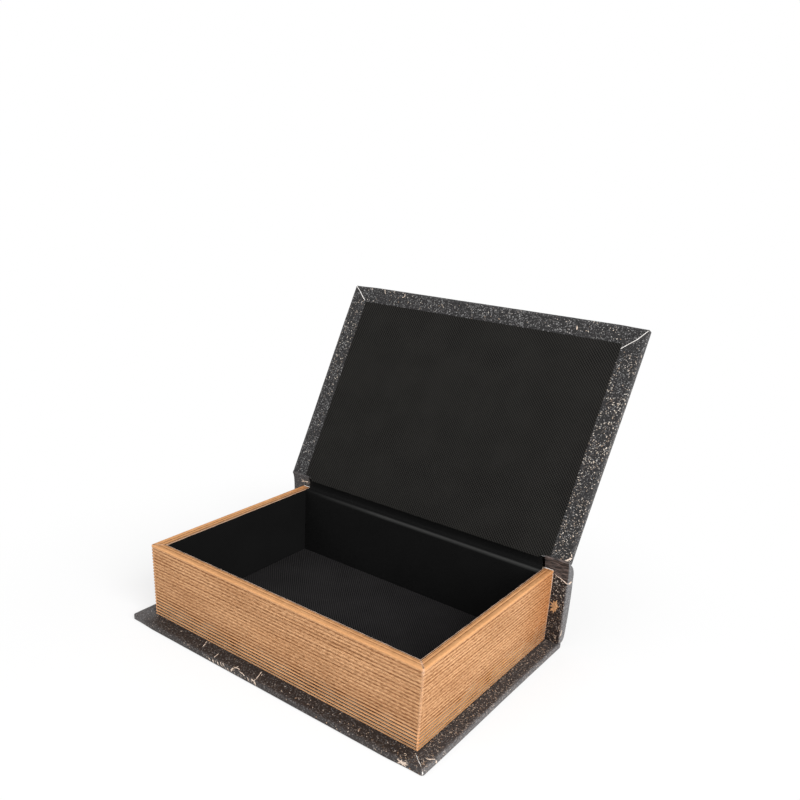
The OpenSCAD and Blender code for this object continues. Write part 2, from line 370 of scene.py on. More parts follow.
def page_material():
    """Printed page edges: fine lines and flecks along the wall, with the grooves painted dark
    brown as painted shade, darkest near the foot.
    """
    material, tree = new_material("page_edges")
    broad = grain(place(tree, (45.0, 7.0, 30.0)), 1.0, 2.0)
    streak = grain(place(tree, (60.0, 0.55, 3.0)), 1.0, 2.0, 0.5)
    fleck = grain(place(tree, (2.4, 0.45, 2.0)), 1.0, 3.0, 0.6)
    low = mark(tree, "low")
    calm = span(low, 0.5, 1.0, 1.0, 0.2)
    light = mix(span(broad, 0.35, 0.65), (0.56, 0.303, 0.15), (0.65, 0.368, 0.19))
    lowest = span(low, 0.6, 1.2)
    pale_foot = mix(mark(tree, "side"), (0.76, 0.395, 0.185), (0.68, 0.325, 0.125))
    foot = mix(lowest, light, pale_foot)
    end = mix(mark(tree, "far"), foot, (0.46, 0.18, 0.058))
    tone = mix(span(streak, 0.36, 0.62, 0.0, 0.5), end, (0.33, 0.165, 0.08))
    spots = times(span(fleck, 0.46, 0.66, 0.0, 0.6), calm)
    spotted = mix(spots, tone, (0.2, 0.09, 0.038))
    lights = times(span(fleck, 0.34, 0.46, 0.35, 0.0), calm)
    lit = mix(lights, spotted, (0.8, 0.52, 0.3))
    pale = mix(times(mark(tree, "band"), 0.65), lit, (0.66, 0.33, 0.14))
    broken = span(fleck, 0.36, 0.6, 0.7, 1.2)
    unbroken = mix(calm, (1.1, 1.1, 1.1), broken)
    # Painted shade in the grooves: darker with the low mark, almost black near the foot
    share = calc("MINIMUM", times(mark(tree, "groove"), low, unbroken), 1.0)
    dark = mix(span(low, 0.7, 1.1), (0.1, 0.027, 0.006), (0.035, 0.008, 0.002))
    colour = mix(share, pale, dark)
    final = mix(mark(tree, "raw"), colour, (0.66, 0.5, 0.41))
    height = calc("MULTIPLY_ADD", fleck, -0.6, times(streak, -0.5))
    finish_material(final, 0.8, 0.0, bump(height, 0.12, 0.5))
    return material


def cloth_material(name, dark, light, pitch, relief, lean, shine):
    """Black lining cloth with a diagonal weave. lean is 1 where its lines keep X + Y, and
    -1 where they keep X - Y."""
    material, tree = new_material(name)
    at = add("SeparateXYZ", {0: place(tree)}).outputs
    other = calc("ADD", at[1], at[2])
    across = calc("MULTIPLY_ADD", other, lean, at[0])
    along = calc("MULTIPLY_ADD", other, -lean, at[0])
    turn = 2 * math.pi / (pitch * math.sqrt(2))
    twill = calc("SINE", times(across, turn))
    cross = calc("SINE", times(along, turn))
    weave = calc("MULTIPLY_ADD", cross, 0.5, twill)
    fibre = grain(place(tree), 2.5, 3.0, 0.7)
    cloud = grain(place(tree), 0.04)
    share = calc("MULTIPLY_ADD", weave, 0.6, fibre)
    shade = mix(span(share, 0.0, 1.0), dark, light)
    cloudy = mix(span(cloud, 0.3, 0.7, 0.0, 0.25), shade, light)
    # Painted highlight: lighter grey where the painted-highlight mark is set, as along the rear
    # wall's rounded top edge
    colour = mix(mark(tree, "painted_highlight"), cloudy, (0.045, 0.045, 0.044))
    finish_material(colour, 0.8, shine, bump(share, relief, 0.7))
    return material


def fibre_material(name, scale, low, high):
    """Fibrous matt stock in two tones."""
    material, tree = new_material(name)
    fibre = grain(place(tree), scale, 4.0, 0.7)
    colour = mix(span(fibre, 0.3, 0.7), low, high)
    finish_material(colour, 0.85, 0.2, bump(fibre, 0.1, 0.6))
    return material


def board_material():
    material, tree = new_material("board")
    vector = add("TexCoord", tree=tree).outputs["Object"]
    fibre = grain(vector, 900.0, 4.0, 0.65)
    colour = mix(fibre, (0.34, 0.25, 0.17), (0.52, 0.4, 0.28))
    finish_material(colour, 0.9, 0.2, bump(fibre, 0.1, 0.6))
    return material


LEATHERETTE = leatherette_material()
PAGES = page_material()
FLOOR_WOVEN = cloth_material("floor_cloth", (0.003, 0.0029, 0.003), (0.0265, 0.025, 0.0255),
                             1.35, 0.15, 1, 0.06)
LID_WOVEN = cloth_material("lid_cloth", (0.002, 0.0019, 0.0018), (0.0205, 0.0197, 0.018),
                           1.35, 0.15, -1, 0.06)
LINING = cloth_material("wall_cloth", (0.003, 0.003, 0.003), (0.0098, 0.0098, 0.0098),
                        0.9, 0.05, 1, 0.03)
BOARD = board_material()
RAW_EDGE = fibre_material("raw_edge", 1.6, (0.5, 0.46, 0.42), (0.86, 0.85, 0.83))
BACKING = fibre_material("cream_backing", 1.8, (0.36, 0.26, 0.19), (0.82, 0.7, 0.6))
TAN = fibre_material("tan_backing", 1.4, (0.34, 0.18, 0.085), (0.66, 0.4, 0.2))


# Covered boards: the base and the lid

COVER_STEP = 0.6
TURN_SHARES = [1 - 0.07 * i for i in range(13)] + [0.1, 0.04]
SIDE_SHARES = (0.17, 0.34, 0.5, 0.66, 0.83)
INNER_SHELL = (60, 36, 18, 6, 1.2)
FACE_INSETS = (1.3, 2, 3, 4.5, 6.5, 9, 13, 18, 26, 36, 48, 60)
SEAM_R = 0.2
REAR_OUT = 0.12
# A fold over an edge as (inset, drop), from the face to the side
FOLD = [(FOLD_R * (1 - math.sin(a)), FOLD_R * (1 - math.cos(a)))
        for a in (math.radians(15 * i) for i in range(7))]


def cover_stations(end, front, rest, face):
    """Rings of a cover's section, as insets from the ends, the front and the rear, and a
    height: from the inside, out at the turned-in edge and round the board's edge, to the
    middle of the outer face. The rear is nearly square, to clear the board."""
    up = 1 if rest > face else -1
    side = abs(rest - face) - 2 * FOLD_R
    one, two = LEATHER, 2 * LEATHER
    rows = [(i, i, i, face + up * one, "inside") for i in INNER_SHELL]
    rows += [(one, one, one, face + up * two, "inside"),
             (one, one, one, rest - up * two, "inside"),
             (two, two, two, rest - up * one, "inside"),
             (end, front, two, rest - up * one, "inside")]
    rear = 0.3 * FOLD_R - REAR_OUT
    rows += [(FOLD_R + (end - FOLD_R) * k, FOLD_R + (front - FOLD_R) * k, rear, rest,
              "border") for k in TURN_SHARES]
    rows += [(i, i, 0.3 * i - REAR_OUT, rest - up * drop, "fold") for i, drop in FOLD]
    rows += [(0.0, 0.0, -REAR_OUT, rest - up * (FOLD_R + side * k), "side")
             for k in SIDE_SHARES]
    rows += [(i, i, 0.3 * i - REAR_OUT, face + up * drop, "fold") for i, drop in FOLD[::-1]]
    rows += [(i, i, i, face, "face") for i in FACE_INSETS]
    return rows, up


def base_bow(p):
    """Where a point of the base's skin lies: its fore edge bows forward, and its right end
    stands out a little near the front."""
    x, y, z = p
    forward = 0.7 + 0.7 * ease(-106, -88, x) * ease(104, 86, x)
    right = 0.4 * ease(98, 106, x) * ease(20, -60, y)
    return (x + right, y - forward * ease(-66, -75, y), z)


def lid_flare(p):
    """The same for the lid, whose ends splay towards the fore edge, which bows forward."""
    x, y, z = p
    splay = 0.2 + ease(60, -60, y)
    rim = ease(98, 106, x) - 0.8 * ease(98, 106, -x)
    forward = 0.5 * ease(109, 90, abs(x)) * ease(-66, -75, y)
    return (x + rim * splay, y - forward, z)


def tray_lean(p):
    """The same for the page edges, whose left side leans out towards its top."""
    x, y, z = p
    out = ease(FACING_DEPTH - TRAY_HALF, -TRAY_HALF, x) * (z - BASE_TOP) / TRAY_H
    return (x - out * (1.15 - 0.9 * ease(TRAY_FRONT, TRAY_REAR, y)), y, z)


def covered_board(name, node, low, high, rest, face, turn, corner, gilt, worn, shape,
                  body="root"):
    """The skin of a covered board. turn holds how far it is turned in at the ends and the
    front, gilt says how many specks a place has, worn how grey its ends and front are, and
    shape moves its points out of true."""
    rows, up = cover_stations(*turn, rest, face)
    counts = (round((high.x - low.x) / COVER_STEP), round((high.y - low.y) / COVER_STEP))
    rings, marks = [], defaultdict(list)
    for end_in, front_in, rear_in, z, kind in rows:
        radius = max(corner - end_in, SEAM_R)
        ring, nearness = plan_ring((low.x + end_in, low.y + front_in),
                                   (high.x - end_in, high.y - rear_in), radius, z, counts)
        edge = min(end_in, front_in)
        moved = []
        for (x, y, height), near in zip(ring, nearness):
            if kind == "border" and edge > corner and y < 0:
                height -= up * SEAM_D * near
            lift = cover_lift((x, y, z))
            if kind in ("side", "fold") and y < high.y - FOLD_R:
                out = Vector((x, y)).normalized()
                x, y = x + out.x * lift, y + out.y * lift
            if kind == "border":
                height += up * lift
            p = (x, y, height)
            moved.append(shape(p))
            reach = 2.6 + 1.6 * ripple(p, 9, 3.0)
            sides = worn[0] * (1 - ease(0.4, reach, min(x - low.x, high.x - x)))
            front = worn[1] * (1 - ease(0.4, reach, y - low.y))
            arms = 0.4 * ease(92, 104, -x) + 0.16 * ease(98, 102, x)
            note(marks, wear=0.04 + max(sides, front, arms if up > 0 else 0.0),
                 gilt=gilt(x, y), smooth=0.0)
        rings.append(moved)
    points, faces = loft(rings)
    if up < 0:
        faces = [f[::-1] for f in faces]
    make_piece(name, (points, faces), LEATHERETTE, node, body, marks)


def base_gilt(x, y):
    """Thick with specks along the right arm, and thin along the fore edge."""
    arm = ease(93, 99, x) * (1 - 0.6 * ease(-70, -75, y))
    return 0.05 + 0.3 * ease(10, 90, x) + 0.9 * arm


def lid_gilt(x, y):
    near_right = ease(88, 98, x) * ease(-66, -50, y)
    near_left = ease(-90, -98, x) * ease(-70, -55, y) * ease(20, -20, y)
    return 0.18 + 0.55 * near_right + 0.35 * near_left


# How far the lid's panel passes the lid's rear edge, and the notches at its rear corners
PANEL_OVER = 1.8
PANEL_NOTCH = 6.0
PANEL_CUT = 2.6


def covers():
    border = (HALF - INNER - CLOTH, INNER_FRONT - CLOTH - COVER_FRONT)
    covered_board("base_cover", "base_leather", BASE_LOW, BASE_HIGH, BASE_TOP, BASE_LOW.z,
                  border, CORNER_R, base_gilt, (0.64, 0.12), base_bow)
    border = (HALF - PANEL_HIGH.x + PANEL_NOTCH, PANEL_LOW.y - LID_LOW.y)
    covered_board("lid_cover", "lid_leather", LID_LOW, LID_HIGH, LID_FACE, LID_HIGH.z, border,
                  LID_CORNER_R, lid_gilt, (0.18, 0.14), lid_flare, "lid")


# Torn places: thin strips and patches of backing on the leatherette

def on_board(low, high):
    """A function that sets a point on a covered board's skin, and gives the way out."""
    def settle(p):
        core = Vector([min(max(p[k], low[k] + FOLD_R), high[k] - FOLD_R) for k in range(3)])
        out = (Vector(p) - core).normalized()
        spot = core + out * FOLD_R
        return spot + out * cover_lift(spot), out
    return settle


def on_plane(normal):
    """The same for a flat place that faces along a normal."""
    out = Vector(normal).normalized()
    return lambda p: (Vector(p), out)


def on_line(line):
    """The same for a surface along X with line as its section, a list of points as Y and Z
    with rising Z. It faces forward."""
    def settle(p):
        pairs = [pair for pair in zip(line, line[1:]) if pair[0].y <= p[2]]
        low, high = pairs[-1]
        spot = low.lerp(high, (p[2] - low.y) / (high.y - low.y))
        slope = (high - low).normalized()
        return Vector((p[0], spot.x, spot.y)), Vector((0, -slope.y, slope.x))
    return settle


def ribbon(path, half_width, height, settle, rough=0.35, step=0.5):
    """A thin domed strip along a path, pointed at its ends. rough makes its width uneven."""
    legs = [(Vector(a), Vector(b)) for a, b in zip(path, path[1:])]
    points = [a.lerp(b, t) for a, b in legs for t in spread(0, 1, step / (b - a).length)[:-1]]
    points.append(Vector(path[-1]))
    rings = []
    for i, p in enumerate(points):
        spot, up = settle(p)
        along = points[min(i + 1, len(points) - 1)] - points[max(i - 1, 0)]
        side = along.cross(up).normalized()
        left = min(i, len(points) - 1 - i) * step
        taper = min(1.0, 0.15 + left / (3.5 * half_width))
        wide = half_width * taper * (1 + rough * ripple(p, 1.2, 5.0))
        spot = spot + side * 0.15 * ripple(p, 3.0, 8.0)
        rings.append([spot - side * wide, spot - side * wide * 0.6 + up * height,
                      spot + side * wide * 0.6 + up * height, spot + side * wide,
                      spot + side * wide - up * height, spot - side * wide - up * height])
    return loft(rings)


def star(centre, points, settle):
    """A ragged star of torn backing: strips that cross at its centre, each to a point given
    as X and Z from there and a half width."""
    middle = Vector(centre)
    return [ribbon([middle - 0.4 * Vector((x, 0, z)), middle + Vector((x, 0, z))], wide, 0.05,
                   settle, 0.6, 0.3) for x, z, wide in points]


# Each tear as (half width, path). A point with no Z lies on the board's inner face. The
# lid's are laid out shut.
BASE_TEARS = [
    (0.2, [(-52, -67.3), (-50.2, -70), (-49, -72.2)]),
    (0.12, [(-49.6, -67), (-48.6, -68.6)]),
    (0.26, [(-36.9, -71.2), (-36.2, -73.6), (-36, -75.2, 3.7)]),
    (0.55, [(-36.1, -75.8, 3.3), (-36, -75.9, 2), (-35, -75.9, 0.7)]),
    (0.5, [(-39.9, -75.9, 2.3), (-38.9, -75.9, 1.8), (-37.8, -75.9, 1.3)]),
    (0.4, [(-32.5, -75.8, 3.3), (-32, -75.9, 2.2), (-31.4, -75.9, 1.3)]),
    (0.3, [(-29.9, -75.5, 3.7), (-29.3, -75.9, 2.7), (-28.8, -75.9, 1.6)]),
    (0.34, [(-28.1, -75.2), (-27.3, -75.9, 3), (-26.6, -75.9, 2.2)]),
    (0.24, [(-24.4, -75.9, 2.3), (-23.3, -75.9, 1.3)]),
    (0.5, [(-18.7, -72.4), (-19.3, -74.4), (-20, -75.7, 3.4), (-21.1, -75.9, 1.2)]),
    (0.3, [(-19.4, -74.4), (-17.2, -73.6), (-15.5, -74.4)]),
    (0.22, [(-14.9, -75.2), (-11.9, -75.5, 3.7), (-10, -75.8, 3.2)]),
    (0.3, [(-8.1, -75.8, 3.4), (-7.2, -75.9, 2.4), (-6.4, -75.9, 1.3)]),
    (0.28, [(-5.3, -68), (-3.7, -71.6), (-2.6, -74.2)]),
    (0.15, [(-3.4, -69.2), (-2.6, -71)]),
    (0.5, [(-2.6, -74.4), (-2.8, -75.7, 3.5), (-2.2, -75.9, 2.4), (-1.2, -75.9, 1)]),
    (0.34, [(-5.2, -75.7, 3.6), (-3.8, -75.9, 3.3), (-2.6, -75.9, 3)]),
    (0.4, [(-90.4, -75.7, 3.4), (-89.6, -75.8, 3.2)]),
    (0.25, [(-96.3, -68.3), (-95.6, -68.8)]),
    (0.34, [(-72.2, -69.6), (-71.2, -70)]),
    (0.36, [(105.6, -68), (107.3, -67.6), (108.6, -66.4), (109.6, -65.2, 3.6)]),
    (0.6, [(109.7, -65.4, 3.3), (109.9, -64.9, 2.2), (109.9, -64.3, 0.6)]),
    (0.34, [(109.9, -59, 3.2), (109.9, -58.2, 2)]),
]
LID_TEARS = [
    (0.62, [(66, -71.2), (66.6, -69.8), (66.9, -68.6)]),
    (0.2, [(-84.6, -75.4, 52.1), (-83.8, -73.6), (-82.6, -72.2)]),
    (0.2, [(-96.2, -75.2, 52.1), (-95.2, -73.6)]),
    (0.24, [(-66.6, -74.6), (-65.6, -72.6), (-67.8, -71.4)]),
    (0.26, [(-101.8, -56.4), (-101.4, -55.4)]),
    (0.45, [(105.6, 70.4), (107.2, 69.4), (108.9, 67.6), (109.7, 67, 52.6)]),
    (0.3, [(108.7, 64.6), (109.6, 66.8, 52.2)]),
    (0.14, [(92.9, 70.95, 52.2), (97.8, 70.95, 52.2), (101.6, 70.95, 52.2)]),
]
SPINE_TEARS = [
    (0.3, [(108.0, TRAY_REAR, 41.4), (108.5, TRAY_REAR, 40.6)]),
    (0.3, [(104.8, TRAY_REAR, 38.9), (105.4, TRAY_REAR, 38.2)]),
    (0.28, [(108.2, TRAY_REAR, 37.8), (108.7, TRAY_REAR, 37.1)]),
    (0.35, [(109.9, 73.6, 13.6), (109.9, 73.2, 11.4), (109.4, TRAY_REAR, 9.2)]),
    (0.25, [(109.9, 73.0, 6.6), (109.5, TRAY_REAR, 5.8)]),
]
# The strips of each ragged star, as star() takes them
SPINE_STAR = [(2.9, 0.3, 0.75), (2.2, 1.9, 0.6), (0.9, 4.6, 0.6), (-1.2, 3.6, 0.5),
              (-3.2, 1.9, 0.5), (-3.3, -1.0, 0.55), (-2.6, -4.4, 0.55), (-0.4, -5.2, 0.6),
              (1.3, -3.6, 0.6), (2.2, -1.6, 0.65)]
BASE_STAR = [(3.2, 0.4, 0.6), (2.4, 1.3, 0.5), (-3.0, 0.9, 0.5), (-2.6, -1.2, 0.5),
             (0.2, -1.8, 0.6), (2.3, -1.3, 0.5), (-0.6, 1.5, 0.6)]
BASE_STAR_AT = (98.1, COVER_FRONT, 2.2)
SPINE_STAR_AT = (103.6, TRAY_REAR, 28.2)
FLECK_PITCH = 2.6
TEAR_H = 0.06


def base_flecks():
    """Small torn flecks along the base's fore edge, and sparse ones on top of it."""
    flecks = []
    for i in range(17):
        x = -44 + FLECK_PITCH * i + 1.2 * ripple((i, 3, 0), 1.7)
        z = 2.4 + 1.6 * ripple((i, 7, 0), 1.3)
        flecks.append((0.2, [(x, COVER_FRONT, z), (x + 0.5, COVER_FRONT, z - 0.8)]))
    for i in range(16):
        x = 10 + 2.2 * FLECK_PITCH * i + 3.0 * ripple((i, 11, 0), 1.7)
        y = -71.6 + 4.5 * ripple((i, 15, 0), 1.3)
        flecks.append((0.5, [(x, y), (x + 0.9, y - 0.5)]))
    return flecks


def torn(rows, settle, face=None):
    """Strips for rows of tears. face is the height of a point that has no Z."""
    return [ribbon([(*p, face)[:3] for p in path], wide, TEAR_H, settle, 0.7, 0.3)
            for wide, path in rows]


def scraps(name, parts, material, shape=None, body="root"):
    """One piece from several strips, whose points shape moves out of true."""
    points, faces = joined(parts)
    if shape:
        points = [shape(p) for p in points]
    return make_piece(name, (points, faces), material, body=body)


def tears():
    on_base = on_board(BASE_LOW, BASE_HIGH)
    on_lid = on_board(LID_LOW, LID_HIGH)
    on_spine = on_board(Vector((-HALF, TRAY_REAR, BASE_TOP)),
                        Vector((HALF, TRAY_REAR + SPINE_T, SPINE_TOP)))
    parts = torn(BASE_TEARS + base_flecks(), on_base, BASE_TOP)
    parts += star(BASE_STAR_AT, BASE_STAR, on_base)
    scraps("base_tears", parts, BACKING, base_bow)
    scraps("lid_tears", torn(LID_TEARS, on_lid, LID_FACE), BACKING, lid_flare, "lid")
    scraps("spine_tears", torn(SPINE_TEARS, on_spine), BACKING)
    scraps("spine_patch", star(SPINE_STAR_AT, SPINE_STAR, on_spine), TAN)


def mitres():
    """The white cut edges at the corners where the leatherette's turned-in edges meet."""
    z = LID_FACE
    under = on_plane((0, 0, -1))
    lid_right = [(109.9, -75.7, z + 0.5), (108.8, -74.9, z), (103.8, -68.3, z - 0.05),
                 (97.4, -61.4, z - 0.05)]
    lid_left = [(-110.0, -76.0, z + 0.1), (-105.7, -72.4, z - 0.05), (-98.6, -65.3, z - 0.05)]
    parts = [ribbon(lid_right, 0.22, 0.12, under), ribbon(lid_left, 0.26, 0.1, under)]
    scraps("lid_mitres", parts, RAW_EDGE, lid_flare, "lid")
    z = BASE_TOP
    top = [(101.0, -68.9, z), (105.5, -72.6, z), (109.0, -75.0, z - 0.1)]
    edge = [(109.4, -75.45, z - 0.6), (109.5, -75.55, z - 2.0), (109.4, -75.5, 0.6)]
    parts = [ribbon(top, 0.16, 0.05, on_plane((0, 0, 1))),
             ribbon(edge, 0.3, 0.08, on_plane((1, -1, 0)))]
    scraps("base_mitres", parts, RAW_EDGE, base_bow)


def facing_ends():
    """The pale raw edges of the page facing where the side walls' rims end at the rear."""
    y, z = TRAY_REAR - 0.35, TRAY_TOP
    edge = [(x, y, z) for x in (INNER + 0.3, TRAY_HALF - 3.0, TRAY_HALF - 0.2)]
    parts = [ribbon([(side * px, py, pz) for px, py, pz in edge], 0.35, 0.2,
                    on_plane((0, 0, 1))) for side in (-1, 1)]
    scraps("facing_ends", parts, RAW_EDGE)


# Spine and the outer hinge strip

CROWN_Z = (BASE_TOP + SPINE_TOP) / 2 + CROWN_RISE
CROWN_R = ((CROWN_Z - BASE_TOP) ** 2 + SPINE_BULGE ** 2) / (2 * SPINE_BULGE)
CROWN_Y = SPINE_T - CROWN_R
FOOT_Z = BASE_TOP + FOOT_R
FOOT_Y = CROWN_Y + math.sqrt((CROWN_R - FOOT_R) ** 2 - (CROWN_Z - FOOT_Z) ** 2)
FOOT_ANGLE = -math.degrees(math.asin((CROWN_Z - FOOT_Z) / (CROWN_R - FOOT_R)))
INNER_STEP = 0.7
END_STEP = 0.6
MIDDLE_STEP = 3.0


def spine_outline(grown):
    """The spine's outer side from foot to top, grown outwards, with Y from the tray's back."""
    start = math.degrees(math.acos(min(FOOT_R / (FOOT_R + grown), 1.0))) - 90
    top = math.degrees(math.asin((SPINE_TOP - CROWN_Z) / (CROWN_R + grown)))
    foot = arc((FOOT_Y, FOOT_Z), FOOT_R + grown, start, FOOT_ANGLE, 8)
    return foot + arc((CROWN_Y, CROWN_Z), CROWN_R + grown, FOOT_ANGLE, top, 40)[1:]


def spine_section(inset):
    """A closed outline round the spine: up its back and over its top, then down its inner
    side. It also gives where the inner side starts."""
    back = spine_outline(LEATHER - inset)
    back[-1] = (back[-1][0], back[-1][1] - inset)
    top = SPINE_TOP - inset
    over = [(back[-1][0] - 0.6 - k, top + 0.02) for k in (0.0, 1.5, 3.0, 4.5)]
    front = [(inset + 0.4, top), (inset + 0.12, top - 0.12)]
    down = [(inset, z) for z in spread(SPINE_TOP - 0.4, BASE_TOP + 0.05, INNER_STEP)]
    down = [(y, min(max(z, BASE_TOP + 0.05 + inset), top - 0.3)) for y, z in down]
    before = back + over + front
    return before + down, len(before)


def end_places(turn):
    """Places along X from left to right, each with its inset at the rounded ends."""
    half = [(HALF - edge, inset) for inset, edge in FOLD]
    half += [(x, 0.0) for x in spread(HALF - FOLD_R, HALF - turn, END_STEP)[1:]]
    half += [(x, 0.0) for x in spread(HALF - turn, 0.0, MIDDLE_STEP)[1:]]
    return [(-x, inset) for x, inset in half[:-1]] + half[::-1]


def spine_cover():
    places = end_places(SPINE_TURN)
    rings, marks = [], defaultdict(list)
    for x, inset in places:
        ring = []
        section, inner_from = spine_section(inset)
        for i, (y, z) in enumerate(section):
            inner = i >= inner_from
            p = (x, TRAY_REAR + y, z)
            if not inner:
                p = (x, p[1] + 0.06 * ripple(p, 14) + 0.03 * ripple(p, 4, 7.0), z)
            ring.append(p)
            worn = 1 - ease(0.2, 1.2 + 0.6 * ripple(p, 9, 3.0), HALF - abs(x))
            ridge = 0.0 if inner else 0.5 * ease(SPINE_TOP - 5, SPINE_TOP, z)
            note(marks, wear=max(0.95 * worn, ridge), gilt=0.8 if inner else 0.35,
                 smooth=0.2 if inner else 0.0)
        rings.append(ring)

    def keep(r, i):
        """Leaves out the inner side's middle, which the tray covers."""
        reach = min(abs(places[r][0]), abs(places[r + 1][0]))
        return i < inner_from or reach > HALF - SPINE_TURN

    make_piece("spine_cover", loft(rings, keep), LEATHERETTE,
               "spine_leather", marks=marks)


END_OUT = 0.05
WEB_TURN = 16.4
HINGE_STEPS = 22
# How far the turned-in ends stand proud of the lid's inner face, and lap over it
WEB_OVER = 0.14
WEB_LAP = 1.2
# The web rises this far almost straight, and comes to the lid's edge from this side
WEB_RISE = 12.0
WEB_HANDLE = (0.7, -1.6)
# The smooth inner leatherette starts at CREASE_TOP beside the tray, and CREASE_FALL lower
# at the ends
CREASE_TOP = 49.1
CREASE_FALL = 3.6
CREASE_FROM = TRAY_HALF + 0.8
CREASE_RUN = 8.9
# Tears of the left turned-in end, as (half width, points as X and Z)
WEB_TEARS = [(0.46, [(-102, 55.8), (-100.4, 54.9), (-98.8, 54.7)]),
             (0.44, [(-102.3, 53.8), (-100.7, 54.2), (-98.7, 54.7)]),
             (0.44, [(-99.2, 54.7), (-97.2, 55.1), (-95.2, 55.2)]),
             (0.55, [(-97.6, 54.2), (-96.6, 54.2)]), (0.5, [(-94.6, 54.8), (-93.9, 54.8)])]


def hinge_path():
    """The outer hinge strip's outer side, from the spine's top to the open lid."""
    start = Vector((TRAY_REAR, 0)) + Vector(spine_outline(LEATHER)[-1])
    lid_edge = opened(LID_HIGH.y + STRIP_GAP, LID_HIGH.z)
    reach = (lid_edge - start).length
    across = Vector((math.sin(math.pi - OPEN_ANGLE), -math.cos(math.pi - OPEN_ANGLE)))
    return [start, start + Vector((0, 0.35 * reach)), lid_edge + across * 0.4 * reach,
            lid_edge]


def web_line():
    """The inner side of the hinge's turned-in ends, from the spine's inner side to the open
    lid, where it laps over the lid's rear edge."""
    start = Vector((TRAY_REAR - 0.08, SPINE_TOP - 1.8))
    edge, lap = (opened(LID_HIGH.y + y, LID_FACE - WEB_OVER) for y in (REAR_OUT, -WEB_LAP))
    line = curve([start, start + Vector((0, WEB_RISE)), edge + Vector(WEB_HANDLE), edge],
                 HINGE_STEPS - 1)
    return line + [(lap, line[-1][1])]


def crease_height(x):
    return CREASE_TOP - CREASE_FALL * (abs(x) - CREASE_FROM) / CREASE_RUN


def hinge_skin():
    """The outer strip, and its turned-in ends, which close it like a sleeve."""
    outer = curve(hinge_path(), HINGE_STEPS)
    web = web_line()
    rings, marks = [], defaultdict(list)
    for x, inset in end_places(WEB_TURN):
        turned = ease(HALF - WEB_TURN, HALF - WEB_TURN + 0.5, abs(x))
        rubbed_down = 1.0 if x > 0 else 0.0
        end = 1 - ease(0.1, 1.0, HALF - abs(x))
        ring = []
        x += math.copysign(END_OUT, x)
        for point, normal in outer:
            wrinkle = 0.1 * ripple((x, 3 * point.x, 3 * point.y), 16, 2.0)
            p = point + normal * (inset - wrinkle)
            ring.append((x, p.x, p.y))
            note(marks, wear=0.35 + 0.5 * end, gilt=0.4, smooth=0.15)
        for i in reversed(range(len(web))):
            back = outer[i][0] + outer[i][1] * LEATHER
            front = web[i][0] - web[i][1] * inset
            front += web[i][1] * 0.08 * ripple((x, *front), 7, 1.0)
            p = back.lerp(front, turned)
            ring.append((x, p.x, p.y))
            line = crease_height(x) + 0.3 * ripple((x, 0, 0), 2.5, 4.0)
            smooth = rubbed_down * ease(line - 0.3, line + 0.3, p.y)
            note(marks, wear=max(0.9 * end, 0.0 if rubbed_down else 0.3),
                 gilt=0.8 * (1 - smooth) if rubbed_down else 0.1,
                 smooth=(0.2 + 0.8 * smooth) * (1 - end))
        rings.append(ring)
    piece = make_piece("hinge_skin", loft(rings), LEATHERETTE,
                       "hinge_leather", None, marks)
    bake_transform(piece)


def hinge_tears():
    """Cream raw edges on the hinge's turned-in ends."""
    on_web = on_line([point for point, _ in web_line()])
    y = TRAY_REAR
    crease = [(x, y, crease_height(x)) for x in (101.2, 103.4, 105.5, 107.6, 109.6)]
    flap = [(107.6, y, 46.2), (108.8, y, 45.6), (109.8, y, 45.3)]
    wrap = [(HALF + END_OUT, y + d, 45.4 - 0.1 * d) for d in (0.3, 2.0, 4.0, 5.8)]
    parts = [ribbon(crease, 0.24, 0.08, on_web, 0.5, 0.3),
             ribbon(flap, 0.8, 0.1, on_web, 0.4, 0.3),
             ribbon(wrap, 0.75, 0.1, on_plane((1, 0, 0)), 0.4, 0.3)]
    for wide, path in WEB_TEARS:
        parts.append(ribbon([(x, y, z) for x, z in path], wide, 0.12, on_web, 0.5, 0.3))
    piece = scraps("hinge_tears", parts, BACKING, body=None)
    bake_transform(piece)


# Page edges

# Lines along the rim as (depth, width)
RIM_LINES = ((2.8, 0.6), (4.6, 0.6), (5.45, 0.35))
RIM_LINE_D = 0.15
EDGE_R = 0.5
CORNER_PLACES = (0.0, 0.2, 0.45, 0.8, 1.3)


def page_section():
    """Outline of the facing as (depth, height, groove, band, raw): up its outer face, over
    the rim, and back along its inner side."""
    top_groove = TRAY_H - PLAIN_BAND
    count = math.floor((top_groove - GROOVE_W) / GROOVE_PITCH + 0.01) + 1
    outer = [(0.0, 0.0, 0.0, 0.0, 0.0)]
    for i in reversed(range(count)):
        middle = top_groove - i * GROOVE_PITCH
        wide = GROOVE_W * (1.22 - 0.22 * ease(4, 14, middle))
        for s, deep in ((-0.6, 0.0), (-0.4, 0.9), (0.0, 1.0), (0.4, 0.9), (0.6, 0.0)):
            outer.append((GROOVE_D * deep, max(middle + s * wide, 0.05), deep, 0.0, 0.0))
        outer.append((-0.02, middle + GROOVE_PITCH / 2, 0.0, 0.0, 0.0))
    for y, z in arc((EDGE_R, TRAY_H - EDGE_R), EDGE_R, 180, 90, 4):
        outer.append((y, z, 0.0, 1.0, 0.0))
    for line, wide in RIM_LINES:
        for s, deep in ((-0.5, 0.0), (-0.2, 0.9), (0.2, 0.9), (0.5, 0.0)):
            outer.append((line + s * wide, TRAY_H - RIM_LINE_D * deep, deep, 0.8, 0.0))
    outer += [(FACING_DEPTH - 0.9, TRAY_H, 0.0, 0.3, 0.25),
              (FACING_DEPTH - 0.35, TRAY_H, 0.2, 0.2, 0.7),
              (FACING_DEPTH, TRAY_H - 0.1, 0.0, 0.0, 1.0)]
    inner = [(FACING_DEPTH, TRAY_H - FACING, 0.0, 0.0, 1.0),
             (FACING + GROOVE_D, TRAY_H - FACING, 0.0, 0.0, 0.0),
             (FACING + GROOVE_D, 0.0, 0.0, 0.0, 0.0)]
    return outer + inner


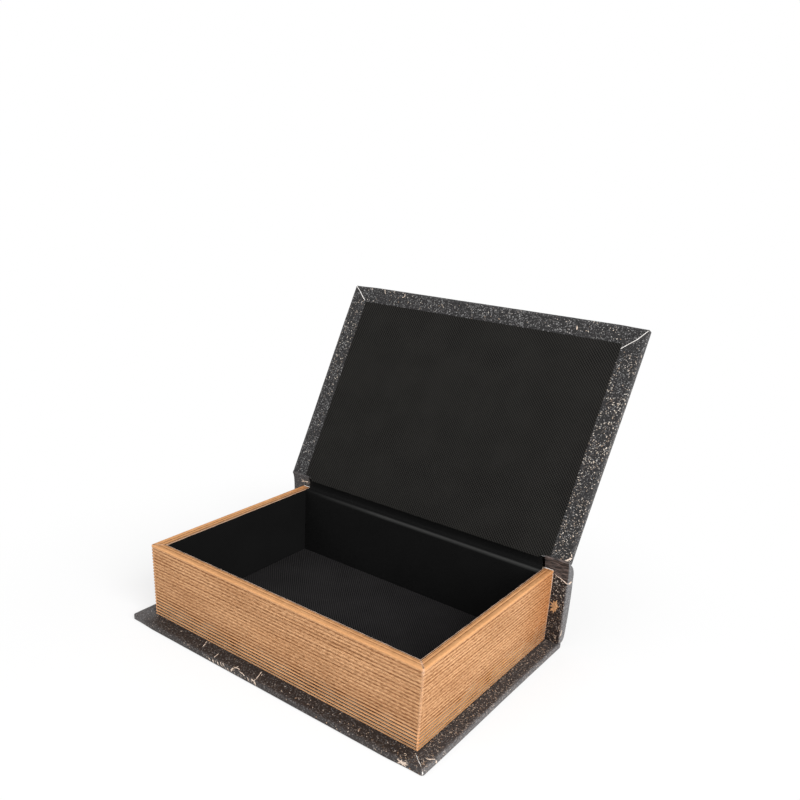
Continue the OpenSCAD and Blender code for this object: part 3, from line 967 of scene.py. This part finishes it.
def groove_strength(height):
    """How much painted shade the grooves get: darkest at the foot, faint and uneven higher up.
    """
    return 0.46 + 0.8 * (1 - ease(3, 19, height)) + 0.2 * ripple((3, height, 0), 1.9)


def leaves(name, node, length, to_place, square_end, pale_edge):
    """One wall's facing. to_place turns (run, depth, height) into a place, with run from the
    near corner, and a square end has no corner there. pale_edge is how bare the rim's inner
    edge is."""
    rings, at, marks = [], [], defaultdict(list)
    near_end = [length - c for c in CORNER_PLACES[::-1]]
    places = [*CORNER_PLACES, *spread(2.0, length - 2.0, 1.0), *near_end]
    for along in places:
        ring = []
        cut_end = square_end and along > length - 0.5
        to_end = ease(length, length - 0.7, along) if square_end else 1.0
        far = 0.9 * ease(length - 45, length, along) if square_end else 0.0
        for depth, height, deep, band, raw in page_section():
            stop = length if square_end else length - depth
            run = depth + (stop - depth) * along / length
            corner = run - depth if square_end else min(run - depth, stop - run)
            corner = max(corner, 0.0)
            rounding = EDGE_R - math.sqrt(EDGE_R ** 2 - max(EDGE_R - corner, 0.0) ** 2)
            on_face = depth < FACING + GROOVE_D and 0 < height < TRAY_H - 1
            clear = ease(0.1, 1.1, corner)
            d, h = depth, height
            if on_face:
                h += 0.12 * ripple((run, height, 0), 11, 9.0) * clear
                shallow = 0.45 + 0.55 * (1 - ease(8, 26, height))
                d = depth * shallow * clear * to_end + rounding
                d += 0.05 * ripple((run, height, 0), 7, 2.0) + 0.02 * ripple((run, h, 0), 1.7)
            elif depth < EDGE_R + 0.1 and height > 1:
                d += rounding
            if raw:
                d += 0.25 * ripple((run, 0, 0), 8, 4.0) + 0.12 * ripple((run, 0, 0), 2.5, 1.0)
            ring.append(tray_lean(to_place(run, d, h)))
            at.append((run, height, depth))
            pale = 0.1 + 0.25 * ease(TRAY_H - 5, TRAY_H - 1, height)
            pale *= 1 - ease(0.1, 1.2, corner)
            if cut_end:
                pale = 0.25 + 0.5 * ease(TRAY_H - 18, TRAY_H - 6, height)
            # low sets the grooves' painted shade, and also the flecks and the tone near the foot
            note(marks, groove=deep * (clear if on_face else 1.0),
                 band=band * (1 - 0.7 * far) if height > TRAY_H - 3 else 0.0,
                 raw=max(raw * pale_edge, pale),
                 low=groove_strength(height) if on_face else 0.75, far=far,
                 side=float(square_end))
        rings.append(ring)
    make_piece(name, loft(rings), PAGES, node, marks=marks, at=at)


def page_edges():
    def front(run, depth, height):
        return (run - TRAY_HALF, TRAY_FRONT + depth, BASE_TOP + height)

    def on_side(side):
        return lambda run, depth, height: (side * (TRAY_HALF - depth), TRAY_FRONT + run,
                                           BASE_TOP + height)

    leaves("front_leaves", "front_pages", 2 * TRAY_HALF, front, False, 1.0)
    leaves("right_leaves", "right_pages", TRAY_REAR - TRAY_FRONT, on_side(1), True, 0.6)
    leaves("left_leaves", "left_pages", TRAY_REAR - TRAY_FRONT, on_side(-1), True, 0.35)


# Cloth linings

SLAB_INSETS = (1.2, 2.5, 5, 9, 14, 20)
CLOTH_STEP = 1.5


def cloth_slab(name, node, low, high, to_place, material, radius=0.15,
               wave=0.15, body="root"):
    """A thin sheet laid out flat from low to high, with eased edges and slight waves, and
    put in its place by to_place. Its shown side is the high one."""
    width, length = high[0] - low[0], high[1] - low[1]
    counts = (round(width / CLOTH_STEP), round(length / CLOTH_STEP))
    middle = (low[2] + high[2]) / 2
    rows = [(30, low[2]), (4, low[2]), (0.05, low[2]), (0.0, low[2] + 0.05)]
    rows += [(radius * (1 - math.cos(a)), high[2] - radius * (1 - math.sin(a)))
             for a in (math.radians(22.5 * i) for i in range(5))]
    rows += [(i, high[2]) for i in SLAB_INSETS]
    narrow = 0.48 * min(width, length)
    rings = []
    for inset, z in rows:
        inset = min(inset, narrow)
        ring, _ = plan_ring((low[0] + inset, low[1] + inset),
                            (high[0] - inset, high[1] - inset), 0.05, z, counts)
        placed = []
        for x, y, height in ring:
            if height > middle:
                height += min(wave * ripple((x, y, 0), 26, 3.0), 0.0) * ease(0, 6, inset)
            if inset < 1:
                x, y = (x + 0.12 * ripple((x, y, 0), 6, 6.0),
                        y + 0.12 * ripple((x, y, 0), 6, 7.0))
            placed.append(to_place(x, y, height))
        rings.append(placed)
    solid = loft(rings)
    # The flat sheets get no painted highlight
    marks = {"painted_highlight": [0.0] * len(solid[0])}
    piece = make_piece(name, solid, material, node, body, marks)


def linings():
    edge = INNER + CLOTH
    wall_top = TRAY_TOP - FACING
    cloth_slab("floor_cloth", "floor_lining", (-edge, INNER_FRONT - CLOTH, BASE_TOP - CLOTH),
               (edge, INNER_REAR + CLOTH, BASE_TOP), lambda x, y, z: (x, y, z), FLOOR_WOVEN)
    cloth_slab("front_cloth", "front_lining", (-edge, BASE_TOP, INNER_FRONT - CLOTH),
               (edge, wall_top, INNER_FRONT), lambda x, y, z: (x, z, y), LINING)
    sides = {"right": lambda x, y, z: (edge - z, x, y),
             "left": lambda x, y, z: (z - edge, x, y)}
    for side, to_place in sides.items():
        cloth_slab(side + "_cloth", side + "_lining", (INNER_FRONT, BASE_TOP, 0.0),
                   (INNER_REAR, wall_top, CLOTH), to_place, LINING)
    rear_cloth()
    hinge_cloth()
    lid_panel()


def lid_panel():
    """The cloth-covered panel inside the lid, laid out with its shown side downwards. It
    passes the lid's rear edge, and its rear corners are cut back."""
    rear = LID_HIGH.y + PANEL_OVER
    notch = PANEL_HIGH.x - PANEL_NOTCH

    def under(x, y, z):
        cut = PANEL_CUT * ease(notch - 1.2, notch + 1.4, abs(x))
        return (x, y - cut * ease(rear - 14, rear, y), PANEL_HIGH.z - z)

    cloth_slab("lid_panel", "lid_lining", (PANEL_LOW.x, PANEL_LOW.y, 0.0),
               (PANEL_HIGH.x, rear, PANEL_HIGH.z - PANEL_LOW.z), under, LID_WOVEN,
               0.35, 0.12, "lid")


def swept_cloth(name, node, line, half, narrow, wave, painted_highlight, body="root"):
    """Cloth along X whose section follows line, a list of points with their normals towards
    the hidden side. narrow takes that much off each end by the line's last point. The last
    argument gives each point of the line its share of painted highlight, a lighter cloth
    colour that stands in for light."""
    rings, marks = [], defaultdict(list)
    for k in spread(-1.0, 1.0, 1 / 60):
        ring = []
        for deep, order in ((0.0, range(len(line))), (CLOTH, reversed(range(len(line))))):
            for i in order:
                point, normal = line[i]
                x = k * (half - narrow * i / (len(line) - 1))
                p = point + normal * (deep + wave * ripple((x, *point), 20, 4.0))
                ring.append((x, p.x, p.y))
                # The painted highlight fades in from the left end and varies slowly along X
                uneven = ease(-1.05, -0.2, k) * (0.9 + 0.3 * ripple((x, 0, 0), 30, 2.0))
                marks["painted_highlight"].append(painted_highlight(i) * uneven)
        rings.append(ring)
    return make_piece(name, loft(rings), LINING, node, body, marks)


def rear_cloth():
    """Cloth up the rear wall, round its top edge and onto its top. It is painted lighter
    round a crest just below the top edge, a painted highlight along the rounded edge.
    """
    centre = Vector((INNER_REAR + REAR_EDGE_R, TRAY_TOP - REAR_EDGE_R))
    line = [(Vector((INNER_REAR, z)), Vector((1, 0)))
            for z in spread(BASE_TOP, centre.y - 0.5, 1.0)]
    for y, z in arc(centre, REAR_EDGE_R, 180, 90, 8):
        line.append((Vector((y, z)), (centre - Vector((y, z))).normalized()))
    line.append((Vector((LAND_END, TRAY_TOP)), Vector((0, -1))))
    crest = Vector((INNER_REAR, TRAY_TOP - 1.0))

    # Painted highlight: strongest at the crest, gone about 1.7 mm from it
    def painted_highlight(i):
        return 1 - ease(0.1, 1.7, (line[i][0] - crest).length)

    piece = swept_cloth("rear_cloth", "rear_lining", line, INNER + CLOTH, 0.0, 0.05, painted_highlight)


def hinge_cloth():
    """Cloth from the rear wall's top to the lid's inner edge."""
    start = Vector((LAND_END, TRAY_TOP))
    lid_edge = opened(LID_HIGH.y + CLOTH + STRIP_GAP, PANEL_HIGH.z + STRIP_GAP)
    reach = (lid_edge - start).length
    path = [start, start + Vector((0.45 * reach, 0)), lid_edge - Vector((0, 0.5 * reach)),
            lid_edge]
    line = [(p, -n) for p, n in curve(path, 18)]
    # The hinge cloth gets no painted highlight
    piece = swept_cloth("hinge_cloth", "hinge_lining", line, INNER, 1.5, 0.08, lambda i: 0.0,
                        None)
    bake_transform(piece)


# Stage

# The camera was fitted to the photograph's corners, for a picture of 800 by 800 pixels.
PICTURE = 800
FOCAL_PX = 828.0
CENTRE_PX = (359.85, 482.63)
CAMERA_PLACE = (275.36, -353.58, 274.57)
CAMERA_TURN = (68.806, -2.346, 38.174)
SENSOR = 36.0
# Lamps as (place, size, power), then the world and the floor, in metres and watts
KEY = ((1.4, -0.55, 1.0), 1.2, 38)
FILL = ((-0.6, -1.5, 1.0), 1.4, 11)
AIM = (0.0, 0.0, 0.05)
AMBIENT = 0.45
FLOOR_HALF = 3.0
FLOOR_DROP = 0.0002
SHADOW_SHARE = 0.3
SHADOW_FADE = (0.12, 0.3)


def link(name, data):
    made = bpy.data.objects.new(name, data)
    bpy.context.scene.collection.objects.link(made)
    return made


def camera():
    data = bpy.data.cameras.new("camera")
    data.sensor_width = SENSOR
    data.lens = FOCAL_PX * SENSOR / PICTURE
    data.shift_x = (PICTURE / 2 - CENTRE_PX[0]) / PICTURE
    data.shift_y = (CENTRE_PX[1] - PICTURE / 2) / PICTURE
    data.clip_start = 0.01
    made = link("camera", data)
    made.location = Vector(CAMERA_PLACE) * MM
    made.rotation_euler = [math.radians(a) for a in CAMERA_TURN]
    bpy.context.scene.camera = made


def lamp(name, spot, size, power):
    """A soft square lamp that faces the box."""
    data = bpy.data.lights.new(name, "AREA")
    data.size = size
    data.energy = power
    made = link(name, data)
    made.location = spot
    aim = Vector(AIM) - Vector(spot)
    made.rotation_euler = aim.to_track_quat("-Z", "Y").to_euler()


def seen_directly(tree):
    """1 for rays from the camera, and for those that a shiny or clear surface sends on."""
    path = add("LightPath", tree=tree).outputs
    glossy = calc("MAXIMUM", path["Is Camera Ray"], path["Is Glossy Ray"])
    return calc("MAXIMUM", glossy, path["Is Transmission Ray"])


def white(tree, kind, strength):
    inputs = {"Color": (1, 1, 1, 1), "Strength": strength}
    return add(kind, inputs, tree).outputs[0]


def studio():
    """White light from all round, which the camera sees as pure white."""
    world = bpy.data.worlds.new("studio")
    bpy.context.scene.world = world
    world.use_nodes = True
    tree = world.node_tree
    tree.nodes.clear()
    lit = white(tree, "Background", AMBIENT)
    seen = white(tree, "Background", 1.0)
    both = add("MixShader", {0: seen_directly(tree), 1: lit, 2: seen})
    add("OutputWorld", {"Surface": both.outputs[0]})


def floor():
    """A white floor. The camera sees it as white, with a faint shadow near the box."""
    mesh = bpy.data.meshes.new("studio_floor")
    corners = ((-1, -1), (1, -1), (1, 1), (-1, 1))
    mesh.from_pydata([(FLOOR_HALF * x, FLOOR_HALF * y, 0) for x, y in corners], [],
                     [(0, 1, 2, 3)])
    made = link("studio_floor", mesh)
    made.location.z = -FLOOR_DROP
    material, tree = new_material("studio_floor")
    spot = add("TexCoord", tree=tree).outputs["Object"]
    pale = mix(grain(spot, 3.0), (0.86, 0.86, 0.86), (0.9, 0.9, 0.9))
    matt = add("BsdfDiffuse", {"Color": pale}).outputs[0]
    glow = white(tree, "Emission", 1.0)
    away = add("VectorMath", {0: spot}, operation="LENGTH").outputs["Value"]
    shown = span(away, *SHADOW_FADE, SHADOW_SHARE, 0.0)
    share = times(seen_directly(tree), calc("SUBTRACT", 1.0, shown))
    both = add("MixShader", {0: share, 1: matt, 2: glow})
    add("OutputMaterial", {"Surface": both.outputs[0]})
    mesh.materials.append(material)


def stage():
    bpy.context.scene.view_settings.view_transform = "Standard"
    camera()
    studio()
    floor()
    lamp("key", *KEY)
    lamp("fill", *FILL)


stage()
covers()
tears()
mitres()
facing_ends()
spine_cover()
hinge_skin()
hinge_tears()
page_edges()
linings()

for node in ("base_board", "spine_board", "lid_board", "front_wall", "left_wall",
             "right_wall", "rear_wall"):
    held = frame["nodes"][node].data.materials
    held.clear()
    held.append(BOARD)
